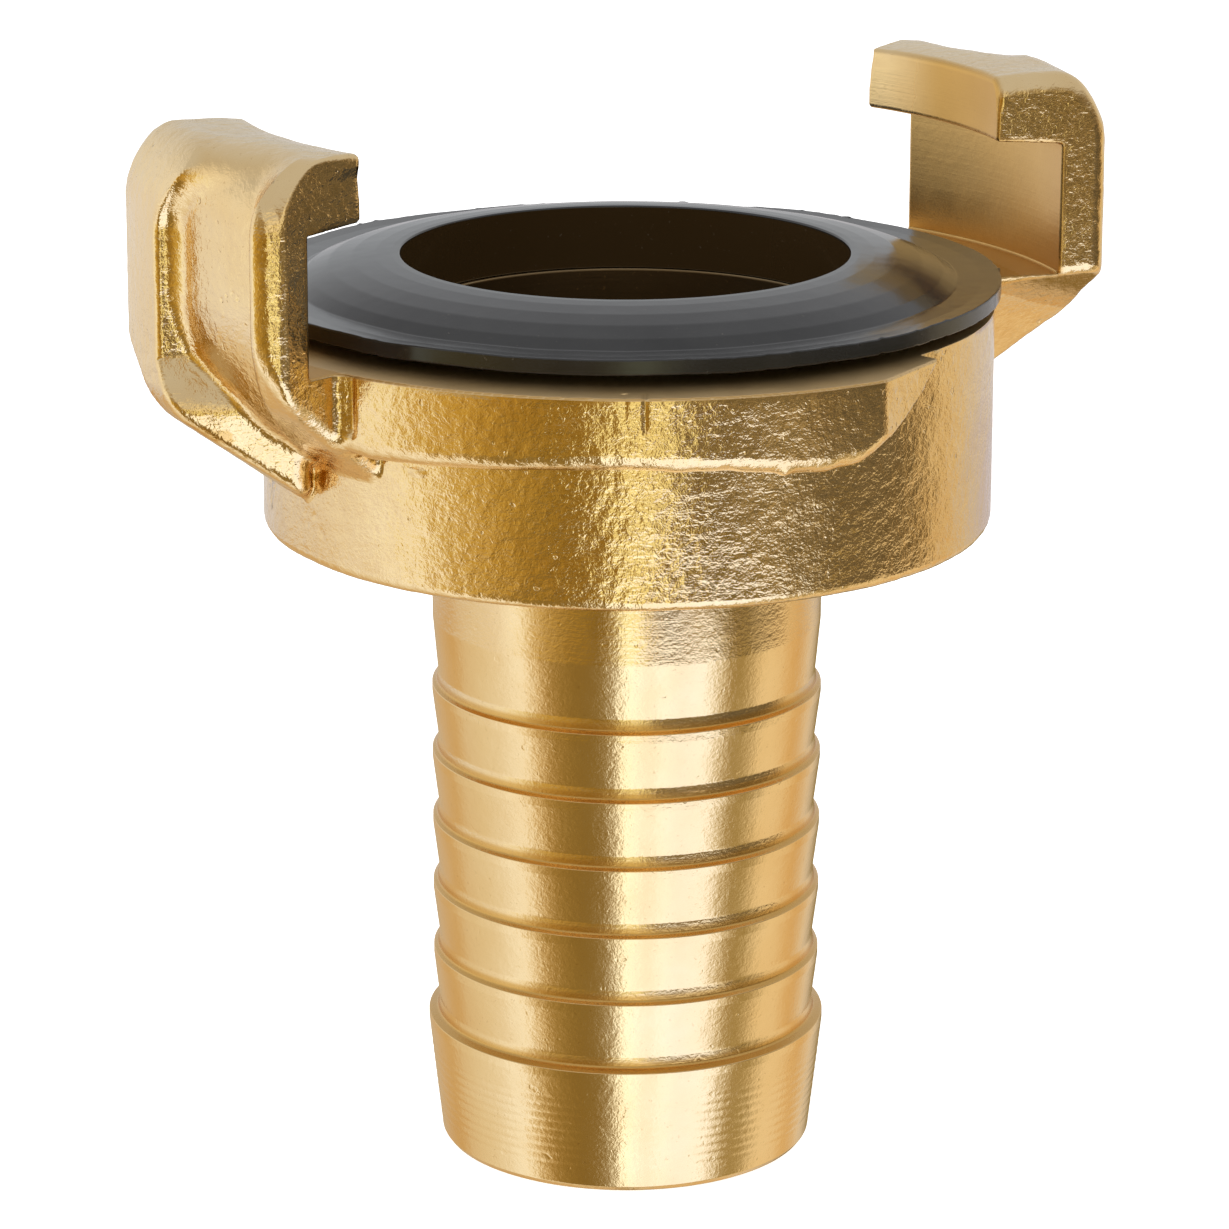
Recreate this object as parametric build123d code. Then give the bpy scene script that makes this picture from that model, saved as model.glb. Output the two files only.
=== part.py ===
# Twin-claw quarter-turn hose coupling half with a barbed hose tail.
# One forged and turned brass body and one moulded rubber lip seal.
# Units: millimetres. Origin: centre of the tail's end face. +Z runs up the bore
# from the tail to the claws. The part stands on the tail's end face.
from build123d import *
import math
import os

# ---------------------------------------------------------------- dimensions
# hose tail
TAIL_BORE_R = 8.1          # through bore of the tail
TAIL_END_R = 9.78          # cone radius just above the end chamfer
TAIL_END_BREAK = 0.22      # edge break at the end face
LAST_BARB_R = 10.47        # crest radius of the last barb, nearest the end
BARB_R = 10.20             # crest radius of the other barbs
ROOT_R = 9.88              # root radius between barbs
BARB_COUNT = 6
BARB_FIRST_Z = 7.17        # middle of the last barb's shoulder
BARB_PITCH = 3.638
SHOULDER_HALF = 0.37       # half height of a barb's shoulder
CREST_LAND = 0.45          # cylindrical land on each crest
NECK_R = 10.15             # plain neck under the collar
NECK_Z0 = 28.6             # lower end of the plain neck
NECK_FILLET = 0.4

# collar
COLLAR_R = 18.85
COLLAR_Z0 = 33.90          # underside of the collar
FACE_Z = 45.30             # machined front face
COLLAR_FILLET = 0.55

# chamber and seal seat
CHAMBER_R = 11.35
CHAMBER_Z0 = 39.0          # lower end of the straight chamber
CONE_Z0 = 35.6             # where the tail bore opens into the cone
SPIGOT_R = 12.40           # outside of the inner ring round the chamber
SPIGOT_Z = 44.45           # top of the inner ring
SEAT_R = 15.40             # outer wall of the seal groove
SEAT_Z0 = 40.5             # floor of the seal groove
SEAT_SNUG = 0.05           # rubber to brass play at the groove walls

# claws (all angles are azimuths about +Z, counter-clockwise from +X)
CLAW_AZ = 33.0             # centre line of the first claw; the second is opposite
NOSE_IN_R = 20.0           # clear radius inside the noses: 40 mm claw spacing
WEB_IN_R = 23.5
WEB_OUT_R = 26.1
NOSE_UNDER_IN_Z = 52.50    # nose underside at its inner edge
NOSE_UNDER_OUT_Z = 52.30   # nose underside at the web
CLAW_TOP_Z = 56.0
NOSE_TOP_IN_Z = 55.75
SHOULDER_R = 3.6           # big rounding at the claw's outer top
NOSE_HALF_W = 5.75         # half width at the nose, flaring outwards
FLARE = math.tan(math.radians(23.0))
UNDER_SLOPE = 0.736        # rise of the foot's slanted underside per mm outwards
UNDER_Z_AT_OUT = 42.45     # that slope's height at WEB_OUT_R
FOOT_ROUND = 3.2
CLAW_EDGE_ROUNDS = (1.1, 0.9, 0.7, 0.5)   # rounding of the claw's outer edges, first that closes

# pocket in the back of each claw, open downwards
POCKET_DEPTH = 1.0
POCKET_UNDER = 2.2         # how much higher its slanted floor is than the foot's underside

# cam flanges that the mating claws turn under
FLANGE_R = 21.6
FLANGE_Z0 = 41.60
FLANGE_AZ0 = 44.0          # starts inside the claw's foot
FLANGE_AZ1 = 141.0         # free end
FACET_AZ = 148.7           # flat on the free end: direction of its normal
FACET_D = 19.82            # and its distance from the axis
RAMP_AZ = 123.0            # where the lead-in ramp starts
RAMP_RISE = 0.47           # rise per mm along the ramp
FLANGE_FILLET = 0.6

# lip seal
SEAL_BORE_R = 11.55
SEAL_LIP_Z = 47.92
BRIM_R = 19.3
BRIM_Z0 = 45.85
BRIM_Z1 = 46.66
DOME_R = 17.1              # foot of the raised lip


def turned(points):
    """Closed polygon of (r, z) points turned about Z."""
    face = make_face(Polyline(*[(r, 0, z) for r, z in points], close=True))
    return revolve(face, Axis.Z, 360)


def prism(points, z0, z1):
    """Closed plan polygon of (x, y) points raised from z0 to z1."""
    face = make_face(Polyline(*[(x, y, z0) for x, y in points], close=True))
    return extrude(face, z1 - z0, dir=(0, 0, 1))


def polar(r, az, z=None):
    x, y = r * math.cos(math.radians(az)), r * math.sin(math.radians(az))
    return (x, y) if z is None else (x, y, z)


def half_space(point, normal, size=80.0):
    """Big block on the side of a plane that its normal points to."""
    plane = Plane(origin=point, z_dir=normal)
    return plane * Pos(0, 0, size / 2) * Box(size, size, size)


# ------------------------------------------------------------ barbed tail
def tail_outline():
    pts = [(NECK_R - 1.0, COLLAR_Z0 + 1.0), (NECK_R, COLLAR_Z0 + 1.0), (NECK_R, NECK_Z0)]
    for k in range(BARB_COUNT - 1, -1, -1):
        mid = BARB_FIRST_Z + k * BARB_PITCH
        crest = LAST_BARB_R if k == 0 else BARB_R
        pts += [(ROOT_R, mid + SHOULDER_HALF),
                (crest, mid - SHOULDER_HALF),
                (crest, mid - SHOULDER_HALF - CREST_LAND)]
    pts += [(TAIL_END_R, TAIL_END_BREAK), (TAIL_END_R - TAIL_END_BREAK, 0.0), (0.0, 0.0),
            (0.0, COLLAR_Z0 + 1.0)]
    return pts


tail = turned(tail_outline())

# ------------------------------------------------------------------ collar
collar = Pos(0, 0, (COLLAR_Z0 + FACE_Z) / 2) * Cylinder(COLLAR_R, FACE_Z - COLLAR_Z0)
low = collar.edges().filter_by(GeomType.CIRCLE).sort_by(Axis.Z)[0]
collar = fillet(low, COLLAR_FILLET)
body = collar + tail
joint = [e for e in body.edges().filter_by(GeomType.CIRCLE)
         if abs(e.radius - NECK_R) < 1e-3 and abs(e.center().Z - COLLAR_Z0) < 1e-3]
body = fillet(joint, NECK_FILLET)

# -------------------------------------------------------------------- claw
under = lambda r: UNDER_Z_AT_OUT + UNDER_SLOPE * (r - WEB_OUT_R)
slope = math.atan(UNDER_SLOPE)
tl = FOOT_ROUND * math.tan((math.pi / 2 - slope) / 2)
foot_a = (WEB_OUT_R, UNDER_Z_AT_OUT + tl)
foot_b = (WEB_OUT_R - tl * math.cos(slope), UNDER_Z_AT_OUT - tl * math.sin(slope))
foot_c = (WEB_OUT_R - FOOT_ROUND, foot_a[1])
mid_ang = -(math.pi / 2 - slope) / 2
foot_m = (foot_c[0] + FOOT_ROUND * math.cos(mid_ang), foot_c[1] + FOOT_ROUND * math.sin(mid_ang))
sh_c = (WEB_OUT_R - SHOULDER_R, CLAW_TOP_Z - SHOULDER_R)
sh_m = (sh_c[0] + SHOULDER_R * math.cos(math.pi / 4), sh_c[1] + SHOULDER_R * math.sin(math.pi / 4))


def v(p):
    return (p[0], 0, p[1])


inner_r = 16.5
outline = [
    Polyline(v((inner_r, under(inner_r))), v((inner_r, FACE_Z)), v((WEB_IN_R, FACE_Z)),
             v((WEB_IN_R, NOSE_UNDER_OUT_Z)), v((NOSE_IN_R, NOSE_UNDER_IN_Z)),
             v((NOSE_IN_R, NOSE_TOP_IN_Z)), v((sh_c[0], CLAW_TOP_Z))),
    ThreePointArc(v((sh_c[0], CLAW_TOP_Z)), v(sh_m), v((WEB_OUT_R, sh_c[1]))),
    Line(v((WEB_OUT_R, sh_c[1])), v(foot_a)),
    ThreePointArc(v(foot_a), v(foot_m), v(foot_b)),
    Line(v(foot_b), v((inner_r, under(inner_r)))),
]
claw_ring = revolve(make_face([e for part in outline for e in part.edges()]), Axis.Z, 360)


def local(u, w):
    """Point at u along the claw's centre line and w across it."""
    a = math.radians(CLAW_AZ)
    return (u * math.cos(a) - w * math.sin(a), u * math.sin(a) + w * math.cos(a))


u0 = math.sqrt(NOSE_IN_R ** 2 - NOSE_HALF_W ** 2)
half_w = lambda u: NOSE_HALF_W + FLARE * (u - u0)
wedge = prism([local(12.0, -half_w(12.0)), local(30.0, -half_w(30.0)),
               local(30.0, half_w(30.0)), local(12.0, half_w(12.0))], 30, 60)
claw = claw_ring & wedge


def outer_edge(e):
    """Edges along the claw's back, over its shoulder and along the top's sides."""
    c = e.center()
    u = c.X * math.cos(math.radians(CLAW_AZ)) + c.Y * math.sin(math.radians(CLAW_AZ))
    w = -c.X * math.sin(math.radians(CLAW_AZ)) + c.Y * math.cos(math.radians(CLAW_AZ))
    return abs(abs(w) - half_w(u)) < 0.3 and math.hypot(c.X, c.Y) > 24.0 and c.Z > 43.0


claw_blank = claw.solids()[0]
for radius in CLAW_EDGE_ROUNDS:
    try:
        trial = fillet([e for e in claw_blank.edges() if outer_edge(e)], radius)
        if trial.is_valid and len(trial.solids()) == 1:
            claw = trial.solids()[0]
            print("claw edges rounded by", radius)
            break
    except Exception as err:
        print("round of", radius, "not possible:", type(err).__name__)
# the foot's leading side leans in under the face, down to the collar, as a warped
# surface made of two planes
claw = claw - (half_space((18.1, 5.0, 45.3), (3.16, -10.94, -18.77))
               & half_space((18.1, 5.0, 45.3), (18.17, -25.22, -19.09)))

# pocket in the claw's back
pk = POCKET_DEPTH
inset = [(WEB_OUT_R - pk, 60.0), (WEB_OUT_R - pk, under(WEB_OUT_R - pk) + POCKET_UNDER),
         (15.0, under(15.0) + POCKET_UNDER), (15.0, 28.0), (34.0, 28.0), (34.0, 60.0)]
bar_a, bar_b = (14.0, 11.3), (30.0, 16.25)      # upper side of the bar along the foot
pocket = turned(inset) & prism([bar_a, bar_b, (23.7, 28.7), (10.4, 9.0)], 28, 60)
low_cut = [(14.0, 28.0), (14.0, under(14.0) + POCKET_UNDER), (30.0, under(30.0) + POCKET_UNDER),
           (30.0, 28.0)]
pocket_low = turned(low_cut) & prism([bar_a, bar_b, (20.0, 34.0), (4.0, 22.0), (8.0, 10.0)], 28, 60)
claw = claw - pocket - pocket_low

# ------------------------------------------------------------------ flange
flange = turned([(16.5, FLANGE_Z0), (FLANGE_R, FLANGE_Z0), (FLANGE_R, FACE_Z), (16.5, FACE_Z)])
rim = [e for e in flange.edges().filter_by(GeomType.CIRCLE)
       if abs(e.center().Z - FLANGE_Z0) < 1e-3 and abs(e.radius - FLANGE_R) < 1e-3]
flange = fillet(rim, FLANGE_FILLET)
sector = prism([(0, 0), polar(60, FLANGE_AZ0), polar(60, (FLANGE_AZ0 + FLANGE_AZ1) / 2),
                polar(60, FLANGE_AZ1)], 30, 60)
flange = flange & sector
n = polar(1.0, FACET_AZ)
flange = flange - half_space((n[0] * FACET_D, n[1] * FACET_D, 45.0), (n[0], n[1], 0))
t = polar(1.0, (RAMP_AZ + FLANGE_AZ1) / 2 + 90.0)
start = polar(FLANGE_R - 1.0, RAMP_AZ, FLANGE_Z0 - 0.15)
flange = flange - half_space(start, (t[0] * RAMP_RISE, t[1] * RAMP_RISE, -1.0))

for turn in (0, 180):
    body = body + Rot(0, 0, turn) * claw + Rot(0, 0, turn) * flange

# --------------------------------------------------- bore, chamber, groove
bore = turned([(0, -1), (TAIL_BORE_R, -1), (TAIL_BORE_R, CONE_Z0), (CHAMBER_R, CHAMBER_Z0),
               (CHAMBER_R, SPIGOT_Z), (CHAMBER_R, 60), (0, 60)])
groove = turned([(SPIGOT_R, SEAT_Z0), (SEAT_R, SEAT_Z0), (SEAT_R, 60), (5.0, 60),
                 (5.0, SPIGOT_Z), (SPIGOT_R, SPIGOT_Z)])
body = body - bore - groove
body = body.clean() if hasattr(body, "clean") else body

coupling_body = body.solids()[0]

# --------------------------------------------------------------- lip seal
dome = [(DOME_R, BRIM_Z1 - 0.06), (15.9, 46.93), (14.6, 47.42), (13.4, 47.74), (12.3, 47.90),
        (SEAL_BORE_R + 0.15, SEAL_LIP_Z), (SEAL_BORE_R, SEAL_LIP_Z - 0.12)]
foot_out = SEAT_R - SEAT_SNUG
foot_in = SPIGOT_R + SEAT_SNUG
lip_seal = turned([
    (foot_in, SEAT_Z0), (foot_out, SEAT_Z0), (foot_out, BRIM_Z0), (BRIM_R - 0.1, BRIM_Z0),
    (BRIM_R, BRIM_Z0 + 0.1), (BRIM_R, BRIM_Z1 - 0.08), (BRIM_R - 0.08, BRIM_Z1),
    (DOME_R + 0.12, BRIM_Z1 + 0.02)] + dome + [(SEAL_BORE_R, SPIGOT_Z), (foot_in, SPIGOT_Z)])

os.makedirs("parts", exist_ok=True)
for name, shape in (("coupling_body", coupling_body), ("lip_seal", lip_seal)):
    shape.label = name
    export_step(shape, "parts/%s.step" % name)
    bb = shape.bounding_box()
    print(name, "solids", len(shape.solids()), "volume %.1f mm3" % shape.volume,
          "box", [round(x, 2) for x in (bb.min.X, bb.min.Y, bb.min.Z, bb.max.X, bb.max.Y, bb.max.Z)])
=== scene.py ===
import bpy
import math
import numpy as np
from mathutils import Matrix, Vector


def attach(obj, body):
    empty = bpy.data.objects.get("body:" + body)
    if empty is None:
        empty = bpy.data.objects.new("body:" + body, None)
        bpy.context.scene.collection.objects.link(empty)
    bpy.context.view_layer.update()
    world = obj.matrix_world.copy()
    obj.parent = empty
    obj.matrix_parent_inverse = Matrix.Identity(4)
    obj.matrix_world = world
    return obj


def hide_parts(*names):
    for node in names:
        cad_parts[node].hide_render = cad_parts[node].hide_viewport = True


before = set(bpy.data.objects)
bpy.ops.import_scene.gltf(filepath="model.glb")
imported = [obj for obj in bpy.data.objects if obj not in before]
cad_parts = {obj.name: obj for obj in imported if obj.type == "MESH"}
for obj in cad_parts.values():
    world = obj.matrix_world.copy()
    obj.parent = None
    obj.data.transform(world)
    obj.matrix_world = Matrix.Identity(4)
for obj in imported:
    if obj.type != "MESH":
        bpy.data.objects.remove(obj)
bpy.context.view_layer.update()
MM = 0.001
rad = math.radians

# =====================================================================
# numbers shared with the CAD model, in millimetres, z up from the tail's end
# =====================================================================
FACE_Z = 45.30
COLLAR_R = 18.85
COLLAR_Z0 = 33.90
FLANGE_R = 21.6
CLAW_AZ = rad(33.0)
CA, SA = math.cos(CLAW_AZ), math.sin(CLAW_AZ)


# =====================================================================
# rounded solids as distance fields
# =====================================================================
def rmax(a, b, k):
    """Intersection of two solids, with the edge between them rounded to radius k."""
    return np.minimum(-k, np.maximum(a, b)) + np.hypot(np.maximum(a + k, 0), np.maximum(b + k, 0))


def rmin(a, b, k):
    """Union of two solids, with a fillet of radius k between them."""
    return -rmax(-a, -b, k)


def step(lo, hi, x):
    t = np.clip((x - lo) / (hi - lo), 0, 1)
    return t * t * (3 - 2 * t)


def waves(seed, count, short, long):
    """A repeatable rough field: plane waves of mixed direction between two wavelengths."""
    rng = np.random.RandomState(seed)
    d = rng.normal(size=(count, 3))
    d /= np.linalg.norm(d, axis=1, keepdims=True)
    k = 2 * np.pi / np.exp(rng.uniform(np.log(short), np.log(long), count))
    return (d * k[:, None]).T, rng.uniform(0, 2 * np.pi, count), math.sqrt(2.0 / count)


SWELL = waves(3, 28, 3.0, 9.0)
HAMMER = waves(7, 60, 0.9, 2.6)
GRAIN = waves(11, 90, 0.42, 0.95)


def rough(field, p):
    k, phase, amp = field
    return amp * np.sin(p @ k + phase).sum(axis=1)


def forge(p, forged):
    """Height of the forged and tumbled skin above the smooth shape."""
    h = 0.011 * rough(SWELL, p)
    ham = rough(HAMMER, p)
    h = h + 0.0045 * ham + 0.0040 * rough(GRAIN, p)
    return h * forged


UNDER = 0.736
COSU = 1.0 / math.hypot(1.0, UNDER)
N1 = np.array([3.16, -10.94, -18.77]); N1 /= np.linalg.norm(N1)
N2 = np.array([18.17, -25.22, -19.09]); N2 /= np.linalg.norm(N2)
LOW_AZ = np.radians([40.0, 46.8, 54.0, 66.0, 90.0, 104.0, 112.0, 117.0, 122.0, 124.3, 126.0, 129.0, 135.2, 136.6, 141.0])
LOW_Z = np.array([41.45, 41.38, 41.12, 41.30, 41.65, 41.42, 41.12, 41.00, 41.22, 41.60, 42.0, 42.62, 43.92, 44.45, 45.6])


def void_of(r, z):
    """The open space under a nose and inside both noses."""
    nose = 52.30 + (23.5 - r) * 0.0571
    hollow = rmin(rmax(r - 23.5, z - nose, 0.10), r - 20.0, 0.16)
    return rmax(hollow, FACE_Z + 0.008 - z, 0.16)


def claw_field(x, y, z):
    """One claw with its foot and its cam flange, for the claw at 33 degrees."""
    r = np.hypot(x, y)
    az = np.arctan2(y, x)
    u = x * CA + y * SA
    w = -x * SA + y * CA
    top = (z - (55.98 - np.where(r < 23.0, 0.026, 0.042) * (r - 23.0) ** 2)) * 0.985
    back = r - 26.1
    under = -(z - (42.45 + UNDER * (r - 26.1))) * COSU
    under2 = under + 2.36 * COSU
    flare = np.where(w > 0, 0.25, 0.4245)
    side = (np.abs(w) - np.where(w > 0, 5.79, 5.75) - flare * (u - 19.156)) / np.sqrt(1 + flare * flare)
    q1 = (x - 18.1) * N1[0] + (y - 5.0) * N1[1] + (z - 45.3) * N1[2]
    q2 = (x - 18.1) * N2[0] + (y - 5.0) * N2[1] + (z - 45.3) * N2[2]
    near = rmin(q1, q2, 0.9)

    # near rib and the bar that it runs into along the foot
    low = 1.0 - step(42.2, 45.2, z)
    n = np.radians(104.0 - 3.0 * low)
    wall = (x - 22.45) * np.cos(n) + (y - 11.81 - 1.49 * low) * np.sin(n)
    # the rib's flank sweeps over at the top and closes the sunk panel there
    up = np.clip(z - 51.3, 0.0, 4.4)
    wall = (wall - 0.30 * up * up) / np.sqrt(1.0 + (0.60 * up) ** 2)
    tilt = np.radians(11.0) * low
    wall = wall * np.cos(tilt) + (under + 1.1) * np.sin(tilt)
    rib = rmax(rmax(back, under, 0.9), wall, 0.30 + 0.15 * low)
    rib = rmax(rib, 15.75 - x, 0.8)
    # sunk panel of the back, which bends into the slanted underside
    panel = rmax(r - 24.85, under2, 3.6)
    # far rib, a narrow bead beside the far face, with a bevel along its outer side
    far = (x - 18.12) * math.cos(rad(-15)) + (y - 18.60) * math.sin(rad(-15))
    bevel = x * math.cos(rad(98)) + y * math.sin(rad(98)) - 16.53
    bead = rmax(rmax(back - 0.02, under2, 2.4), far, 0.40)
    bead = rmax(bead, bevel, 0.5)
    claw = rmin(rmin(panel, rib, 0.85 - 0.25 * low), bead, 0.42)
    claw = rmax(claw, top, 3.3)
    claw = rmax(claw, side, np.where(w > 0, 0.9 - 0.7 * step(43.2, 45.4, z), 0.3 + 0.75 * step(42.8, 45.0, z)))
    claw = rmax(claw, near, 0.35)

    # cam flange
    zl = np.interp(az, LOW_AZ, LOW_Z)
    flange = rmax(r - FLANGE_R, (zl - z) * 0.93, 0.85)
    facet = x * math.cos(rad(148.7)) + y * math.sin(rad(148.7)) - 19.82
    flange = rmax(flange, facet, 0.12)
    flange = rmax(flange, r * np.sin(np.clip(az - rad(140.6), -1.5, 1.5)), 0.25)
    flange = np.maximum(flange, r * np.sin(np.clip(rad(42.0) - az, -1.5, 1.5)))
    lid = FACE_Z + 1.0
    flange = rmax(flange, z - lid, 0.07)
    body = rmin(claw, flange, 0.55)

    # the collar's own skin, just under the turned collar's, so that the fillets run into it
    collar = np.maximum(np.maximum(r - (COLLAR_R - 0.045), 35.4 - z), z - lid)
    collar = np.maximum(collar, r * np.sin(np.clip(rad(6.0) - az, -1.5, 1.5)))
    collar = np.maximum(collar, r * np.sin(np.clip(az - rad(149.0), -1.5, 1.5)))
    body = rmin(body, collar, 0.42)

    # machined away: the slots, the space between the claws and the face
    edge = 0.11 + 0.22 * step(53.5, 55.0, z)
    body = rmax(body, -void_of(r, z), edge)
    return np.maximum(body, 16.8 - r)


def claw_marks(p, which):
    """Dents, nicks and scars, as heights, by place in the row frame."""
    x, y, z = p.T
    r = np.hypot(x, y)
    az = np.degrees(np.arctan2(y, x)) % 360
    h = np.zeros(len(p))
    if which == "left":
        h += 0.10 * step(54.6, 55.4, z) * (1 - step(21.0, 23.0, r))
    else:
        h += 0.24 * step(54.3, 55.2, z) * step(23.2, 24.6, r) * np.exp(-((az - 29.0) / 8.0) ** 2)
        h -= 0.10 * step(54.6, 55.4, z) * np.exp(-((az - 49.0) / 4.0) ** 2)
    if which == "left":
        t = r * np.radians(az - 272.3)
        h -= 0.07 * np.exp(-(t / 0.12) ** 2) * step(43.3, 44.3, z) * (r > 20.5)
        t = r * np.radians(az - 269.6)
        h -= 0.03 * np.exp(-(t / 0.12) ** 2) * step(44.0, 44.6, z) * (r > 20.5)
        t = r * np.radians(az - 291.0)
        h += 0.16 * np.exp(-(t / 0.30) ** 2 - ((z - 41.25) / 0.28) ** 2) * (r > 19.5)
        t = r * np.radians(az - 276.5)
        h += 0.07 * np.exp(-(t / 0.6) ** 2 - ((z - 41.5) / 0.25) ** 2) * (r > 19.5)
        for a, zz, s, d in ((265.0, 41.9, 0.5, 0.05), (258.0, 41.8, 0.4, 0.05), (283.0, 41.5, 0.5, 0.06),
                            (299.0, 41.3, 0.35, 0.06), (248.0, 41.7, 0.4, 0.04)):
            t = r * np.radians(az - a)
            h -= d * np.exp(-(t / s) ** 2 - ((z - zz) / 0.3) ** 2) * (r > 20.0)
        # side of the groove at the flange's start
        t = r * np.radians(az - 231.6)
        h -= 0.22 * np.exp(-(t / 0.28) ** 2) * step(41.9, 42.6, z) * (r > 20.9) * (r < 22.2) * (z < 45.2)
        # small dark nick below the flange's start, with its raised lip
        t = r * np.radians(az - 234.0)
        h -= 0.28 * np.exp(-(t / 0.75) ** 2 - ((z - 40.75) / 0.22) ** 2) * (r < 20.6)
        t = r * np.radians(az - 237.0)
        h += 0.13 * np.exp(-(t / 0.6) ** 2 - ((z - 40.2) / 0.30) ** 2) * (r < 20.6)
        # pits in the panel
        for a, zz in ((218.6, 48.9), (219.8, 49.1), (220.8, 48.9), (217.6, 48.6), (216.9, 52.4), (222.5, 45.9), (225.3, 46.7)):
            t = r * np.radians(az - a)
            h -= 0.06 * np.exp(-(t / 0.10) ** 2 - ((z - zz) / 0.10) ** 2) * (r > 24.0)
    return h


# =====================================================================
# turning a field into a mesh
# =====================================================================
def sample(f, lo, h, n):
    """The field on a grid of blocks: near the surface at full resolution, elsewhere by its sign."""
    B = 4
    nb = [int(math.ceil(k / B)) for k in n]
    c = [lo[i] + h * (np.arange(nb[i]) * B + (B - 1) / 2.0) for i in range(3)]
    X, Y, Z = np.meshgrid(*c, indexing="ij")
    coarse = f(X, Y, Z)
    reach = h * B * 0.87 * 1.7
    live = np.argwhere(np.abs(coarse) < reach)
    out = np.repeat(np.repeat(np.repeat(np.where(coarse < 0, -reach, reach), B, 0), B, 1), B, 2)
    o = np.stack(np.meshgrid(*[np.arange(B)] * 3, indexing="ij"), -1).reshape(-1, 3)
    for a in range(0, len(live), 8000):
        idx = (live[a:a + 8000, None, :] * B + o[None]).reshape(-1, 3)
        p = np.asarray(lo) + idx * h
        out[idx[:, 0], idx[:, 1], idx[:, 2]] = f(p[:, 0], p[:, 1], p[:, 2])
    return out


def surface_net(f, lo, hi, h):
    lo, hi = np.asarray(lo, float), np.asarray(hi, float)
    n = np.ceil((hi - lo) / h).astype(int) + 1
    F = sample(f, lo, h, n)
    n = np.array(F.shape)
    inside = F < 0
    strides = np.array([n[1] * n[2], n[2], 1])
    cells, points, quads = [], [], []
    for a in range(3):
        b, c = (a + 1) % 3, (a + 2) % 3
        s0, s1 = [slice(None)] * 3, [slice(None)] * 3
        s0[a], s1[a] = slice(0, -1), slice(1, None)
        cross = inside[tuple(s0)] != inside[tuple(s1)]
        idx = np.argwhere(cross)
        e = np.zeros(3, int); e[a] = 1
        eb = np.zeros(3, int); eb[b] = 1
        ec = np.zeros(3, int); ec[c] = 1
        ok = np.all(idx[:, [b, c]] > 0, axis=1)
        idx = idx[ok]
        f0 = F[idx[:, 0], idx[:, 1], idx[:, 2]]
        j = idx + e
        f1 = F[j[:, 0], j[:, 1], j[:, 2]]
        t = f0 / (f0 - f1)
        at = lo + (idx + t[:, None] * e) * h
        four = [idx - eb - ec, idx - ec, idx, idx - eb]
        ids = np.stack([q @ strides for q in four], 1)
        for k in range(4):
            cells.append(ids[:, k]); points.append(at)
        up = f0 < 0
        quads.append(np.where(up[:, None], ids, ids[:, ::-1]))
    cells, points, quads = np.concatenate(cells), np.concatenate(points), np.concatenate(quads)
    names, where = np.unique(cells, return_inverse=True)
    count = np.bincount(where).astype(float)
    verts = np.stack([np.bincount(where, points[:, i]) / count for i in range(3)], 1)
    faces = np.searchsorted(names, quads)
    return verts, faces


def settle(f, height, p, rounds=4):
    """Moves points onto the field's skin and returns them with their normals and the skin's openness, which sets
    the painted shade in hollows.
    """
    eps = 0.012

    def grad(g, q):
        out = np.empty_like(q)
        for i in range(3):
            d = np.zeros(3); d[i] = eps
            out[:, i] = (g(q + d) - g(q - d)) / (2 * eps)
        return out
    base = lambda q: f(q[:, 0], q[:, 1], q[:, 2])
    start = p.copy()
    for _ in range(rounds):
        g = grad(base, p)
        g2 = np.maximum((g * g).sum(1), 0.15)
        move = -(base(p) / g2)[:, None] * g
        size = np.linalg.norm(move, axis=1, keepdims=True)
        p = p + move * np.minimum(1.0, 0.12 / np.maximum(size, 1e-9))
    g = grad(base, p)
    nrm = g / np.maximum(np.linalg.norm(g, axis=1, keepdims=True), 1e-9)
    h = height(p)
    gh = grad(height, p)
    gh -= (gh * nrm).sum(1, keepdims=True) * nrm
    # how hollow the skin is here; the brass colour is deepened by it as painted shade and reflection
    painted_hollow_shade = np.clip(1.0 - base(p + nrm * 0.7) / 0.7, 0, 1)
    q = p + nrm * h[:, None]
    out = nrm - gh
    out /= np.linalg.norm(out, axis=1, keepdims=True)
    return q, out, painted_hollow_shade


def mesh_piece(name, verts, faces, normals, layers, material):
    me = bpy.data.meshes.new(name)
    nv, nf = len(verts), len(faces)
    me.vertices.add(nv)
    me.vertices.foreach_set("co", (verts * MM).astype(np.float32).ravel())
    me.loops.add(nf * 4)
    me.loops.foreach_set("vertex_index", faces.astype(np.int32).ravel())
    me.polygons.add(nf)
    me.polygons.foreach_set("loop_start", (np.arange(nf) * 4).astype(np.int32))
    me.update(calc_edges=True)
    me.validate()
    me.polygons.foreach_set("use_smooth", np.ones(len(me.polygons), bool))
    for key, data in layers.items():
        att = me.attributes.new(key, "FLOAT", "POINT")
        att.data.foreach_set("value", np.asarray(data, np.float32))
    me.normals_split_custom_set_from_vertices(normals.tolist())
    me.materials.append(material)
    ob = bpy.data.objects.new(name, me)
    bpy.context.scene.collection.objects.link(ob)
    return ob


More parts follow.
